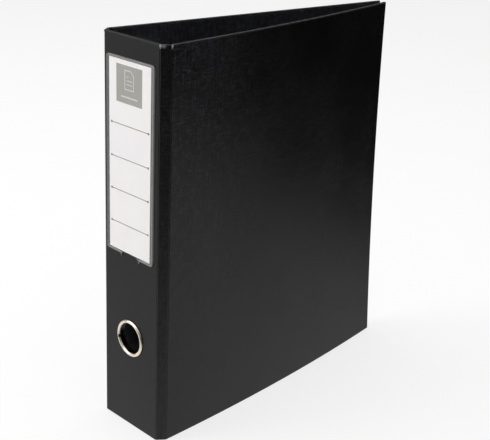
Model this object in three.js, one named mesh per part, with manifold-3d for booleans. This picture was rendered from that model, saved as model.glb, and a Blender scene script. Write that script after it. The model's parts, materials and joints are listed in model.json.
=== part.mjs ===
// Upright A4 ring binder: three boards in a linen-embossed black wrap, two flexible hinge strips,
// a clear label pocket and a steel finger ring on the spine, and a D-ring mechanism on the back cover.
// Millimetres, +Z up. The spine faces -Y, the fore-edge +Y, the front cover +X, the back cover -X.
import * as THREE from 'three';
import * as BufferGeometryUtils from 'three/addons/utils/BufferGeometryUtils.js';
import Module from 'manifold-3d';

const wasm = await Module();
wasm.setup();

// ---- driving dimensions -------------------------------------------------------------------
const HEIGHT = 320;            // boards, bottom to top
const SPINE_W = 63.4;          // spine panel, crease to crease
const STRIP_W = 8.66;          // hinge strip, crease to crease
const COVER_W = 281.6;         // cover, crease to fore-edge, along its surface
const WRAP_T = 0.35;           // outer wrap
const BOARD_T = 2.0;           // greyboard
const LINING_T = 0.25;         // inner lining paper
const GLUE = 0.05;             // glue line between layers
const WALL = WRAP_T + GLUE + BOARD_T + GLUE + LINING_T;
const STRIP_T = 0.9;           // wrap and lining glued together at the hinge
const CREASE = 0.25;           // a panel's wrap stops this far from the crease line
const BOARD_SETBACK = 1.5;     // a board stops this far from the crease line
const LINING_INSET = 1.5;      // lining stops this far from a board's edge

const FRONT_STRIP_DEG = 52.5;  // closed hinge strip, turned from the spine plane
const BACK_STRIP_DEG = 53.7;
const FRONT_LEAN_DEG = 6.03;   // mean inward lean of the closed front cover
const FRONT_BOW_DEG = 8.64;    // its turn from crease to fore-edge: the cover bellies outwards
const FRONT_TWIST = -5.5;      // fore-edge: top end in, bottom end out
const FRONT_CUP = 2.5;         // fore-edge: both ends out, middle in
const BACK_LEAN_DEG = 6.24;    // the back cover is flat

const RING_Z = 78.9;           // finger ring centre
const RING_X = -0.27;
const RING_OUTER_R = 15.5;
const RING_INNER_R = 12.55;
const RING_BARREL_R = 13.3;
const RING_HOLE_R = 13.7;

const LABEL_X = [-24.8, 23.4];
const LABEL_Z = [151.7, 301.9];
const LABEL_T = 0.3;
const POCKET_X = [-28.9, 27.3];
const POCKET_Z = [148.6, 304.4];
const POCKET_T = 1.3;
const POCKET_BACK = 0.3;
const POCKET_FRONT = 0.35;
const NOTCH_HALF = 9.6;        // thumb notch in the pocket's bottom weld
const NOTCH_X = -0.4;

const MECH_U = 40;             // mechanism centre line from the back cover's crease
const CASE_Z = [26, 294];
const CASE_HALF = 15;
const CASE_H = 9;
const CASE_T = 1.0;
const BLADE_PIVOT_U = 13.0;
const BLADE_PIVOT_H = 4.0;
const BLADE_W = 12.8;          // pivot line to the blade's free edge
const BLADE_T = 1.2;
const BLADE_DEG = 6;           // closed blades fall this much towards each other
const BLADE_Z = [34.5, 285.5];
const RINGS_Z = [40, 120, 200, 280];
const WIRE_R = 2.0;
const POST_U = 9;
const POST_TOP = 44;
const RIVETS_Z = [80, 240];
const RIVET_R = 2.4;
const LEVER_Z = 30;            // lever pin from the near end of the boards
const LEVER_H = 4.3;
const LEVER_HALF = 6;
const PIN_R = 1.2;

const deg = THREE.MathUtils.degToRad;

// ---- materials ----------------------------------------------------------------------------
const mat = (color, roughness, metalness, extra = {}) =>
  new THREE.MeshStandardMaterial({ color, roughness, metalness, ...extra });
const WRAP = () => mat(0x151517, 0.5, 0);
const SPINE_WRAP = () => mat(0x2e2e2f, 0.45, 0);
const BOARD = () => mat(0x8b8578, 0.9, 0);
const LINING = () => mat(0x16171a, 0.65, 0);
const NICKEL = () => mat(0xd9d3c4, 0.22, 1);
const CHROME = () => mat(0xd4d6d9, 0.12, 1);
const STEEL = () => mat(0xb4b6b8, 0.35, 1);

// ---- helpers ------------------------------------------------------------------------------
function clean(geometry) {
  const g = geometry.index ? geometry.toNonIndexed() : geometry.clone();
  for (const name of Object.keys(g.attributes)) if (name !== 'position') g.deleteAttribute(name);
  return BufferGeometryUtils.mergeVertices(g, 1e-4);
}

function solid(geometry) {
  const g = clean(geometry);
  return new wasm.Manifold(new wasm.Mesh({
    numProp: 3,
    vertProperties: new Float32Array(g.attributes.position.array),
    triVerts: new Uint32Array(g.index.array),
  }));
}

function fromSolid(body) {
  const m = body.getMesh();
  const g = new THREE.BufferGeometry();
  g.setAttribute('position', new THREE.BufferAttribute(new Float32Array(m.vertProperties), 3));
  g.setIndex(new THREE.BufferAttribute(new Uint32Array(m.triVerts), 1));
  return g;
}

function cut(geometry, ...tools) {
  let body = solid(geometry);
  for (const tool of tools) body = body.subtract(solid(tool));
  return fromSolid(body);
}

function add(group, name, geometry, material) {
  const mesh = new THREE.Mesh(geometry, material);
  mesh.name = name;
  group.add(mesh);
  return mesh;
}

// an axis-aligned block between two corners
function block(x0, y0, z0, x1, y1, z1, nx = 1, ny = 1, nz = 1) {
  const g = new THREE.BoxGeometry(x1 - x0, y1 - y0, z1 - z0, nx, ny, nz);
  g.translate((x0 + x1) / 2, (y0 + y1) / 2, (z0 + z1) / 2);
  return g;
}

// a rod along X, Y or Z
function rod(axis, r, from, to, a, b, sides = 16) {
  const g = new THREE.CylinderGeometry(r, r, to - from, sides);
  const mid = (from + to) / 2;
  if (axis === 'x') g.rotateZ(Math.PI / 2).translate(mid, a, b);
  if (axis === 'y') g.translate(a, mid, b);
  if (axis === 'z') g.rotateX(Math.PI / 2).translate(a, b, mid);
  return g;
}

function circlePath(cx, cy, r, sides) {
  const path = new THREE.Path();
  for (let i = 0; i < sides; i++) {
    const t = (-2 * Math.PI * i) / sides;
    const x = cx + r * Math.cos(t), y = cy + r * Math.sin(t);
    if (i === 0) path.moveTo(x, y); else path.lineTo(x, y);
  }
  path.closePath();
  return path;
}

function polygon(points) {
  return new THREE.Shape(points.map(([x, y]) => new THREE.Vector2(x, y)));
}

// a profile in (first axis, second axis) pushed along the third
function prism(shape, depth, ex, ey, ez, origin = [0, 0, 0]) {
  const g = new THREE.ExtrudeGeometry(shape, { depth, bevelEnabled: false, curveSegments: 8 });
  const m = new THREE.Matrix4().makeBasis(
    new THREE.Vector3(...ex), new THREE.Vector3(...ey), new THREE.Vector3(...ez));
  m.setPosition(...origin);
  g.applyMatrix4(m);
  if (m.determinant() < 0) throw new Error('left-handed prism');
  return g;
}

// a plate of constant thickness in the XZ plane with round holes, its outer face at y = y0
function plateXZ(x0, x1, z0, z1, y0, y1, holes = [], sides = 32) {
  const shape = polygon([[x0, z0], [x1, z0], [x1, z1], [x0, z1]]);
  for (const [hx, hz, r] of holes) shape.holes.push(circlePath(hx, hz, r, sides));
  // x stays x, the profile's second axis is z, the push is towards -y
  return prism(shape, y1 - y0, [1, 0, 0], [0, 0, 1], [0, -1, 0], [0, y1, 0]);
}

// a plate of constant thickness in the YZ plane of a cover, from x0 to x1
function plateYZ(y0, y1, z0, z1, x0, x1, holes = [], sides = 20) {
  const shape = polygon([[y0, z0], [y1, z0], [y1, z1], [y0, z1]]);
  for (const [hy, hz, r] of holes) shape.holes.push(circlePath(hy, hz, r, sides));
  return prism(shape, x1 - x0, [0, 1, 0], [0, 0, 1], [1, 0, 0], [x0, 0, 0]);
}

// a profile of (radius, height) turned about the height axis; it closes on itself or ends on the axis
function turned(profile, sides) {
  let area = 0;
  profile.forEach(([r, y], i) => {
    const [r2, y2] = profile[(i + 1) % profile.length];
    area += r * y2 - r2 * y;
  });
  const points = profile.map(([r, y]) => new THREE.Vector2(r, y));
  if (profile[0][0] > 0 || profile[profile.length - 1][0] > 0) points.push(points[0].clone());
  if (area < 0) points.reverse();
  return new THREE.LatheGeometry(points, sides);
}

const binder = new THREE.Group();
const body = new THREE.Group();          // everything, before the origin is moved under the middle
binder.add(body);

// ---- spine: board, wrap and lining, all pierced by the finger ring ----------------------------
const half = SPINE_W / 2;
const spine = new THREE.Group();
body.add(spine);
const ringHole = [[RING_X, RING_Z, RING_HOLE_R]];
add(spine, 'spine_wrap',
  plateXZ(-half + CREASE, half - CREASE, 0, HEIGHT, 0, WRAP_T, ringHole), SPINE_WRAP());
add(spine, 'spine_board',
  plateXZ(-half + BOARD_SETBACK, half - BOARD_SETBACK, 0, HEIGHT,
    WRAP_T + GLUE, WRAP_T + GLUE + BOARD_T, ringHole), BOARD());
add(spine, 'spine_lining',
  plateXZ(-half + BOARD_SETBACK + 0.5, half - BOARD_SETBACK - 0.5, LINING_INSET, HEIGHT - LINING_INSET,
    WALL - LINING_T, WALL, ringHole), LINING());

// the finger ring: a domed flange outside, a barrel through the spine, and a lip curled over the washer
{
  const out = -1.5, inn = WALL + 1.7;
  const profile = [
    [RING_BARREL_R, -0.08], [RING_OUTER_R - 0.35, -0.08], [RING_OUTER_R, -0.45], [RING_OUTER_R - 0.5, -1.15],
    [RING_OUTER_R - 1.5, out], [RING_INNER_R + 0.5, -1.25], [RING_INNER_R, -0.5],
    [RING_INNER_R, inn - 0.55], [RING_INNER_R + 0.5, inn], [RING_BARREL_R + 1.4, inn], [RING_BARREL_R + 1.4, inn - 0.6],
    [RING_BARREL_R, inn - 0.7],
  ];
  const g = turned(profile, 32);
  g.translate(RING_X, 0, RING_Z);
  add(spine, 'finger_ring_eyelet', g, NICKEL());
}
{
  const y0 = WALL + 0.08, y1 = WALL + 0.85, r0 = RING_BARREL_R + 0.12, r1 = RING_OUTER_R + 0.9;
  const profile = [[r0, y0], [r1, y0], [r1, y0 + 0.4], [r1 - 0.6, y1], [r0, y1]];
  const g = turned(profile, 32);
  g.translate(RING_X, 0, RING_Z);
  add(spine, 'finger_ring_washer', g, STEEL());
}

// the clear label pocket: two films welded on three sides, open at the top, notched for a thumb below
{
  const outer = block(POCKET_X[0], -POCKET_T, POCKET_Z[0], POCKET_X[1], -GLUE, POCKET_Z[1]);
  const cavity = block(LABEL_X[0] - 0.5, -POCKET_T + POCKET_FRONT, LABEL_Z[0] - 0.3,
    LABEL_X[1] + 0.5, -GLUE - POCKET_BACK, POCKET_Z[1] + 5);
  const notch = prism(polygon([
    [NOTCH_X - NOTCH_HALF - 1.2, POCKET_Z[0] - 1], [NOTCH_X + NOTCH_HALF + 1.2, POCKET_Z[0] - 1],
    [NOTCH_X + NOTCH_HALF, POCKET_Z[0] + 1.6], [NOTCH_X + NOTCH_HALF - 2.2, POCKET_Z[0] + 4.4],
    [NOTCH_X - NOTCH_HALF + 2.2, POCKET_Z[0] + 4.4], [NOTCH_X - NOTCH_HALF, POCKET_Z[0] + 1.6],
  ]), 2, [1, 0, 0], [0, 0, 1], [0, -1, 0], [0, -GLUE - POCKET_BACK, 0]);
  add(spine, 'label_pocket', cut(outer, cavity, notch), mat(0xdfe3e6, 0.12, 0, { transparent: true, opacity: 0.3 }));
}

// the card in the pocket
{
  const y1 = -GLUE - POCKET_BACK - 0.14;
  add(body, 'label_insert', block(LABEL_X[0], y1 - LABEL_T, LABEL_Z[0], LABEL_X[1], y1, LABEL_Z[1]),
    mat(0xebeae8, 0.6, 0));
}

// ---- hinge strips ---------------------------------------------------------------------------
{
  const g = new THREE.Group();
  g.position.set(half, 0, 0);
  g.rotation.z = deg(FRONT_STRIP_DEG);
  body.add(g);
  add(g, 'front_hinge_strip', block(CREASE, 0, 0, STRIP_W - CREASE, STRIP_T, HEIGHT), WRAP());
}
{
  const g = new THREE.Group();
  g.position.set(-half, 0, 0);
  g.rotation.z = -deg(BACK_STRIP_DEG);
  body.add(g);
  add(g, 'back_hinge_strip', block(-STRIP_W + CREASE, 0, 0, -CREASE, STRIP_T, HEIGHT), WRAP());
}

// ---- front cover: bellied and slightly twisted, as a board cover settles ------------------------
const front = {
  x: half + STRIP_W * Math.cos(deg(FRONT_STRIP_DEG)),
  y: STRIP_W * Math.sin(deg(FRONT_STRIP_DEG)),
};
function frontPoint(s, depth, z) {
  const k = deg(FRONT_BOW_DEG) / COVER_W;
  const a0 = deg(FRONT_LEAN_DEG) - deg(FRONT_BOW_DEG) / 2;
  const th = a0 + k * s;
  const u = s / COVER_W, q = (z - HEIGHT / 2) / (HEIGHT / 2);
  const warp = FRONT_TWIST * u * q + FRONT_CUP * u * u * (q * q - 1 / 3);
  const x = front.x - (Math.cos(a0) - Math.cos(th)) / k;
  const y = front.y + (Math.sin(th) - Math.sin(a0)) / k;
  return [x + Math.cos(th) * (warp - depth), y + Math.sin(th) * (warp - depth), z];
}
// a sheet of the front cover between two depths, laid on that surface
function frontSheet(s0, s1, d0, d1, z0, z1, ns, nz) {
  const g = new THREE.BoxGeometry(s1 - s0, d1 - d0, z1 - z0, ns, 1, nz);
  g.translate((s0 + s1) / 2, (d0 + d1) / 2, (z0 + z1) / 2);
  const p = g.attributes.position;
  for (let i = 0; i < p.count; i++) p.setXYZ(i, ...frontPoint(p.getX(i), p.getY(i), p.getZ(i)));
  return clean(g);
}
const frontCover = new THREE.Group();
body.add(frontCover);
add(frontCover, 'front_cover_wrap', frontSheet(CREASE, COVER_W, 0, WRAP_T, 0, HEIGHT, 14, 10), WRAP());
add(frontCover, 'front_cover_board',
  frontSheet(BOARD_SETBACK, COVER_W, WRAP_T + GLUE, WRAP_T + GLUE + BOARD_T, 0, HEIGHT, 14, 10), BOARD());
add(frontCover, 'front_cover_lining',
  frontSheet(LINING_INSET, COVER_W - LINING_INSET, WALL - LINING_T, WALL,
    LINING_INSET, HEIGHT - LINING_INSET, 14, 10), LINING());

// ---- back cover: flat, in its own turned frame: x is depth inwards, y runs to the fore-edge -------
const back = new THREE.Group();
back.position.set(-half - STRIP_W * Math.cos(deg(BACK_STRIP_DEG)), STRIP_W * Math.sin(deg(BACK_STRIP_DEG)), 0);
back.rotation.z = -deg(BACK_LEAN_DEG);
body.add(back);
const rivetHoles = RIVETS_Z.map((z) => [MECH_U, z, RIVET_R + 0.35]);
add(back, 'back_cover_wrap', plateYZ(CREASE, COVER_W, 0, HEIGHT, 0, WRAP_T, rivetHoles), WRAP());
add(back, 'back_cover_board',
  plateYZ(BOARD_SETBACK, COVER_W, 0, HEIGHT, WRAP_T + GLUE, WRAP_T + GLUE + BOARD_T, rivetHoles), BOARD());
add(back, 'back_cover_lining',
  plateYZ(LINING_INSET, COVER_W - LINING_INSET, LINING_INSET, HEIGHT - LINING_INSET,
    WALL - LINING_T, WALL, rivetHoles), LINING());

// ---- ring mechanism, in a frame on the back cover's lining: x is height, y across, z along ----------
const mech = new THREE.Group();
mech.position.set(WALL + 0.1, MECH_U, 0);
back.add(mech);
const along = (profile, z0, z1) =>
  prism(polygon(profile), z1 - z0, [0, 1, 0], [-1, 0, 0], [0, 0, 1], [0, 0, z0]);
// profile points are (across, height); the prism's second axis is -height, which keeps it right-handed
const up = (list) => list.map(([u, h]) => [u, -h]);

// the arched case, open underneath and at both ends
{
  const rise = [[15, 0], [15, 6.2], [13.8, 7.8], [11, 8.6], [6, 8.95], [0, CASE_H]];
  const inner = [[14, 0], [14, 5.85], [13.1, 7.0], [10.7, 7.63], [5.9, 7.95], [0, CASE_H - CASE_T]];
  const outline = [];
  for (const [u, h] of rise) outline.push([u, h]);
  for (let i = rise.length - 2; i >= 0; i--) outline.push([-rise[i][0], rise[i][1]]);
  for (const [u, h] of inner) outline.push([-u, h]);
  for (let i = inner.length - 2; i >= 0; i--) outline.push([inner[i][0], inner[i][1]]);
  const arch = along(up(outline), ...CASE_Z);
  const tools = [];
  for (const z of RINGS_Z) {
    for (const side of [-1, 1]) {
      const u0 = side * 9.3;
      tools.push(block(5, u0 - 4.2, z - WIRE_R - 0.9, 11, u0 + 4.2, z + WIRE_R + 0.9));
    }
  }
  for (const z of RIVETS_Z) tools.push(rod('x', RIVET_R + 0.3, 5, 12, 0, z, 16));
  for (const z of [LEVER_Z, HEIGHT - LEVER_Z]) tools.push(rod('y', PIN_R + 0.3, -20, 20, 0, 0, 12).translate(LEVER_H, 0, z));
  add(mech, 'ring_mechanism_case', cut(arch, ...tools), CHROME());
}

// the rivets that hold the mechanism: a head on the case, a shank, and a flared tail outside the cover
RIVETS_Z.forEach((z, i) => {
  const tail = -(WALL + 0.1) - 0.95;
  const profile = [
    [0, tail], [4.2, tail], [5.0, tail + 0.5], [5.0, tail + 0.85], [RIVET_R, tail + 0.85],
    [RIVET_R, CASE_H + 0.1], [4.4, CASE_H + 0.1], [4.4, CASE_H + 0.6], [3.2, CASE_H + 1.3], [0, CASE_H + 1.6],
  ];
  const g = turned(profile, 20);
  // the lathe turns about its Y; here that is the mechanism's height axis
  g.applyMatrix4(new THREE.Matrix4().makeBasis(
    new THREE.Vector3(0, 1, 0), new THREE.Vector3(1, 0, 0), new THREE.Vector3(0, 0, -1)));
  g.translate(0, 0, z);
  add(mech, i === 0 ? 'mechanism_rivet_lower' : 'mechanism_rivet_upper', g, NICKEL());
});

// the two blades: each tips about its outer long edge, and carries one half of every ring
function blade(side) {
  const g = new THREE.Group();
  g.position.set(BLADE_PIVOT_H, side * BLADE_PIVOT_U, 0);
  // the free edge lies lower than the pivot edge while the rings are shut
  g.rotation.z = -side * deg(BLADE_DEG);
  mech.add(g);
  const s0 = -0.6, s1 = BLADE_W, notch = RIVET_R + 1.3;
  const pts = [[s0, BLADE_Z[0]], [s1, BLADE_Z[0]]];
  for (const z of RIVETS_Z) {
    pts.push([s1, z - notch], [s1 - notch, z - notch], [s1 - notch, z + notch], [s1, z + notch]);
  }
  pts.push([s1, BLADE_Z[1]], [s0, BLADE_Z[1]]);
  const shape = polygon(pts.map(([s, z]) => [-side * s, z]).slice());
  const geo = prism(shape, BLADE_T, [0, 1, 0], [0, 0, 1], [1, 0, 0], [-BLADE_T / 2, 0, 0]);
  add(g, side > 0 ? 'post_blade' : 'curve_blade', geo, STEEL());
}
blade(1);
blade(-1);

// half rings: a straight post on the fore-edge side, and the bow of the D on the spine side
const wireSection = new THREE.Shape();
for (let i = 0; i < 8; i++) {
  const t = (2 * Math.PI * (i + 0.5)) / 8, r = WIRE_R;
  if (i === 0) wireSection.moveTo(r * Math.cos(t), r * Math.sin(t));
  else wireSection.lineTo(r * Math.cos(t), r * Math.sin(t));
}
wireSection.closePath();
const bowPath = (z) => new THREE.CatmullRomCurve3([
  [5.25, -9], [9.5, -10.1], [18, -15.6], [28, -17.8], [38, -15.4], [46, -8.6], [50, 0.2], [49.4, 5.4],
  [46.9, 8.4], [POST_TOP + 0.4, POST_U],
].map(([h, u]) => new THREE.Vector3(h, u, z)), false, 'centripetal');
RINGS_Z.forEach((z, i) => {
  const post = turned([
    [0, 4.75], [WIRE_R, 4.75], [WIRE_R, POST_TOP - 1.2], [WIRE_R - 0.9, POST_TOP], [0, POST_TOP],
  ], 10);
  post.applyMatrix4(new THREE.Matrix4().makeBasis(
    new THREE.Vector3(0, 1, 0), new THREE.Vector3(1, 0, 0), new THREE.Vector3(0, 0, -1)));
  post.translate(0, POST_U, z);
  add(mech, `ring_post_${i + 1}`, post, CHROME());
  const bow = new THREE.ExtrudeGeometry(wireSection, { steps: 20, extrudePath: bowPath(z), bevelEnabled: false });
  add(mech, `ring_bow_${i + 1}`, bow, CHROME());
});

// the two levers: a barrel on a pin, a tongue under the blades, a tab to push outside the case
function lever(name, pinName, zPin, dir) {
  const g = new THREE.Group();
  g.position.set(LEVER_H, 0, zPin);
  mech.add(g);
  // (out, height): out is away from the middle of the mechanism
  const pts = [];
  const R = 2.55;
  const arc = (a0, a1, n) => {
    for (let i = 0; i <= n; i++) {
      const a = deg(a0 + ((a1 - a0) * i) / n);
      pts.push([R * Math.cos(a), R * Math.sin(a)]);
    }
  };
  arc(235, 330, 4);                                   // under the barrel
  pts.push([6.6, -1.1], [8.6, 1.5], [14.9, 12.4], [14.6, 14.4], [13.0, 14.4], [6.6, 2.6], [5.4, 0.9]);
  arc(20, 180, 7);                                    // over the barrel
  pts.push([-2.9, -2.3], [-6.2, -2.55], [-6.2, -3.5], [-2.3, -3.4]);
  const shape = polygon(pts);
  shape.holes.push(circlePath(0, 0, PIN_R + 0.3, 12));
  // the profile's first axis is +-z, its second is height
  const geo = dir < 0
    ? prism(shape, 2 * LEVER_HALF, [0, 0, -1], [1, 0, 0], [0, -1, 0], [0, LEVER_HALF, 0])
    : prism(shape, 2 * LEVER_HALF, [0, 0, 1], [1, 0, 0], [0, 1, 0], [0, -LEVER_HALF, 0]);
  add(g, name, geo, STEEL());
  const pin = turned([
    [0, -CASE_HALF - 0.9], [1.9, -CASE_HALF - 0.9], [1.9, -CASE_HALF - 0.1], [PIN_R, -CASE_HALF - 0.1],
    [PIN_R, CASE_HALF + 0.1], [1.9, CASE_HALF + 0.1], [1.9, CASE_HALF + 0.9], [0, CASE_HALF + 0.9],
  ], 12);
  add(g, pinName, pin, STEEL());
}
lever('lever_lower', 'lever_pin_lower', LEVER_Z, -1);
lever('lever_upper', 'lever_pin_upper', HEIGHT - LEVER_Z, 1);

// ---- the origin goes under the middle of the whole object --------------------------------------
binder.updateMatrixWorld(true);
{
  const box = new THREE.Box3().makeEmpty();
  const v = new THREE.Vector3();
  binder.traverse((o) => {
    if (!o.isMesh) return;
    const p = o.geometry.attributes.position;
    for (let i = 0; i < p.count; i++) box.expandByPoint(v.fromBufferAttribute(p, i).applyMatrix4(o.matrixWorld));
  });
  body.position.set(-(box.min.x + box.max.x) / 2, -(box.min.y + box.max.y) / 2, -box.min.z);
  binder.updateMatrixWorld(true);
}

export default binder;
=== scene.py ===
"""The looks of the ring binder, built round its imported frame."""
import json
import math

import bmesh
import bpy
import numpy as np
from mathutils import Matrix, Vector

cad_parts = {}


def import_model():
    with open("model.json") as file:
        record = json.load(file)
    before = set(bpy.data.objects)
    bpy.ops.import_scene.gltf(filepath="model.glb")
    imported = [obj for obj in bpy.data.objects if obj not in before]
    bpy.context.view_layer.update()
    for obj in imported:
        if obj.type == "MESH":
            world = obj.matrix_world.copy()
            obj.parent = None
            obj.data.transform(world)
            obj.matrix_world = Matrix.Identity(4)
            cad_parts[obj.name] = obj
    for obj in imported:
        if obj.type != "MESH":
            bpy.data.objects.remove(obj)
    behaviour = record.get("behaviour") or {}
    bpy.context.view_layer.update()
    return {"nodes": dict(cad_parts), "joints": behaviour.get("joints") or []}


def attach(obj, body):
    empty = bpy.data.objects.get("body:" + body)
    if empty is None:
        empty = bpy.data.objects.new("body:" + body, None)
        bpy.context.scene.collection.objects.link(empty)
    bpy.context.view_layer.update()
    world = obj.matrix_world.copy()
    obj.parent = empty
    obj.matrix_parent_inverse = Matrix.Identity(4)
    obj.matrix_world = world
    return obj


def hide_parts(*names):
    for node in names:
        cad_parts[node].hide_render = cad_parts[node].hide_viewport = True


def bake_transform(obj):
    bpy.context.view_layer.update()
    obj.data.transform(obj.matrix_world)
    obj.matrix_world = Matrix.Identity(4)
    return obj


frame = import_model()
JOINTS = {j["name"]: j for j in frame["joints"]}

# ---------------------------------------------------------------------------------------------
# sizes, in millimetres, in the frame whose zero is the middle of the spine's outer face
# ---------------------------------------------------------------------------------------------
H = 320.0
SPINE_W = 63.4
HALF = SPINE_W / 2
STRIP_W = 8.66
COVER_W = 281.6
WALL = 2.7
FILM = 0.9
BAND = 0.85                      # the creased band on either side of a crease line
FRONT_STRIP = math.radians(52.5)
BACK_STRIP = math.radians(53.7)
FRONT_LEAN = math.radians(6.03)
FRONT_BOW = math.radians(8.64)
FRONT_TWIST, FRONT_CUP = -5.5, 2.5
BACK_LEAN = math.radians(6.24)
RING_X, RING_Z = -0.27, 78.9
MECH_U = 40.0
MECH_N = WALL + 0.1
RINGS_Z = [40, 120, 200, 280]
RIVETS_Z = [80, 240]

crease = JOINTS["front_spine_crease"]["pos_m"]
OFF = np.array([crease[0] - HALF / 1000, crease[1], 0.0])


def world(p):
    """Millimetres in the spine's frame to metres in the row frame."""
    return np.asarray(p, float) / 1000 + OFF


# the panels' surfaces: (distance from the crease, depth inwards, height) to a point
def spine_map(s, d, z):
    return np.stack([s, d, z], -1)


def front_frame(s, z):
    k = FRONT_BOW / COVER_W
    a0 = FRONT_LEAN - FRONT_BOW / 2
    th = a0 + k * s
    u, q = s / COVER_W, (z - H / 2) / (H / 2)
    warp = FRONT_TWIST * u * q + FRONT_CUP * u * u * (q * q - 1 / 3)
    warp = np.where(s > 0, warp, 0)
    x = HALF + STRIP_W * math.cos(FRONT_STRIP) - (math.cos(a0) - np.cos(th)) / k
    y = STRIP_W * math.sin(FRONT_STRIP) + (np.sin(th) - math.sin(a0)) / k
    return x, y, th, warp


def front_map(s, d, z):
    x, y, th, warp = front_frame(s, z)
    return np.stack([x + np.cos(th) * (warp - d), y + np.sin(th) * (warp - d), z + 0 * s], -1)


BX, BY = -HALF - STRIP_W * math.cos(BACK_STRIP), STRIP_W * math.sin(BACK_STRIP)


def back_map(s, d, z):
    c, n = math.cos(BACK_LEAN), math.sin(BACK_LEAN)
    return np.stack([BX + d * c + s * n, BY - d * n + s * c, z + 0 * s], -1)


def mech_map(u, h, z):
    """The ring mechanism's frame: across, height over the lining, along."""
    return back_map(MECH_U + np.asarray(u, float), MECH_N + np.asarray(h, float), np.asarray(z, float))


def strip_map(side):
    a = FRONT_STRIP if side > 0 else BACK_STRIP
    c, n = math.cos(a), math.sin(a)

    def f(s, d, z):
        x = HALF + s * c - d * n
        y = s * n + d * c
        return np.stack([side * x, y, z + 0 * s], -1)

    return f


# ---------------------------------------------------------------------------------------------
# mesh helpers
# ---------------------------------------------------------------------------------------------
def make_object(name, verts, faces, uv=None, smooth=True, flip=False):
    mesh = bpy.data.meshes.new(name)
    if flip:
        faces = [tuple(reversed(f)) for f in faces]
    mesh.from_pydata([tuple(v) for v in world(verts)], [], faces)
    mesh.update()
    if uv is not None:
        layer = mesh.uv_layers.new(name="mm")
        idx = np.zeros(len(mesh.loops), np.int32)
        mesh.loops.foreach_get("vertex_index", idx)
        layer.data.foreach_set("uv", np.asarray(uv, np.float32)[idx].ravel())
    if smooth:
        mesh.polygons.foreach_set("use_smooth", [True] * len(mesh.polygons))
    obj = bpy.data.objects.new(name, mesh)
    bpy.context.scene.collection.objects.link(obj)
    return obj


def outward(obj):
    """Turns every face of a closed mesh outwards."""
    bm = bmesh.new()
    bm.from_mesh(obj.data)
    bmesh.ops.recalc_face_normals(bm, faces=bm.faces)
    vol = bm.calc_volume(signed=True)
    if vol < 0:
        bmesh.ops.reverse_faces(bm, faces=bm.faces)
    bm.to_mesh(obj.data)
    bm.free()
    obj.data.update()
    return obj


def stops(a, b, step, r_a=0.0, r_b=0.0, extra=()):
    """Grid lines from a to b: dense over a rounded end, with a line that holds the flat beside it."""
    pts = {a, b}
    for k in range(1, 5):
        f = 1 - math.cos(math.radians(22.5 * k))
        if r_a:
            pts.add(a + r_a * f)
        if r_b:
            pts.add(b - r_b * f)
    for x in extra:
        pts.add(x)
    lo, hi = a, b
    if r_a:
        lo = a + r_a + 0.5
        pts.add(lo)
    if r_b:
        hi = b - r_b - 0.5
        pts.add(hi)
    n = max(1, round((hi - lo) / step))
    for i in range(n + 1):
        pts.add(lo + (hi - lo) * i / n)
    out = []
    for p in sorted(pts):
        if not out or p - out[-1] > 0.045:
            out.append(p)
    out[-1] = b
    return np.array(out)


def plate(name, fmap, s, z, outer, inner, r, round_s0, round_s1, round_z=True, uv_off=(0, 0)):
    """A closed sheet between two depths over a grid, its free edges rounded."""
    S, Z = np.meshgrid(s, z, indexing="ij")
    e = np.full(S.shape, 1e9)
    if round_s0:
        e = np.minimum(e, S - s[0])
    if round_s1:
        e = np.minimum(e, s[-1] - S)
    if round_z:
        e = np.minimum(e, np.minimum(Z - z[0], z[-1] - Z))
    do = outer(S, Z) if callable(outer) else outer + 0 * S
    di = inner(S, Z) if callable(inner) else inner + 0 * S
    drop = np.minimum(r, 0.44 * (di - do)) * (1 - np.sqrt(np.maximum(1 - (1 - np.clip(e, 0, r) / r) ** 2, 0)))
    do, di = do + drop, di - drop
    A, B = fmap(S, do, Z), fmap(S, di, Z)
    ns, nz = S.shape
    verts = np.concatenate([A.reshape(-1, 3), B.reshape(-1, 3)])
    uv = np.stack([S + uv_off[0], Z + uv_off[1]], -1).reshape(-1, 2)
    uv = np.concatenate([uv, uv])
    N = ns * nz
    faces = []
    for i in range(ns - 1):
        for j in range(nz - 1):
            a, b, c, d = i * nz + j, (i + 1) * nz + j, (i + 1) * nz + j + 1, i * nz + j + 1
            faces.append((a, b, c, d))
            faces.append((N + d, N + c, N + b, N + a))
    rim = [(i, 0) for i in range(ns)] + [(ns - 1, j) for j in range(1, nz)]
    rim += [(i, nz - 1) for i in range(ns - 2, -1, -1)] + [(0, j) for j in range(nz - 2, 0, -1)]
    rim = [i * nz + j for i, j in rim]
    for k in range(len(rim)):
        a, b = rim[k], rim[(k + 1) % len(rim)]
        faces.append((b, a, N + a, N + b))
    return sharpen(outward(make_object(name, verts, faces, uv)), 50)


def smooth_curve(points, per=6):
    """A Catmull-Rom line through the points."""
    P = [np.asarray(p, float) for p in points]
    P = [2 * P[0] - P[1]] + P + [2 * P[-1] - P[-2]]
    out = []
    for i in range(1, len(P) - 2):
        for k in range(per):
            t = k / per
            a, b, c, d = P[i - 1], P[i], P[i + 1], P[i + 2]
            out.append(0.5 * (2 * b + (c - a) * t + (2 * a - 5 * b + 4 * c - d) * t * t
                              + (3 * b - a - 3 * c + d) * t ** 3))
    out.append(P[-2])
    return np.array(out)


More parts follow.
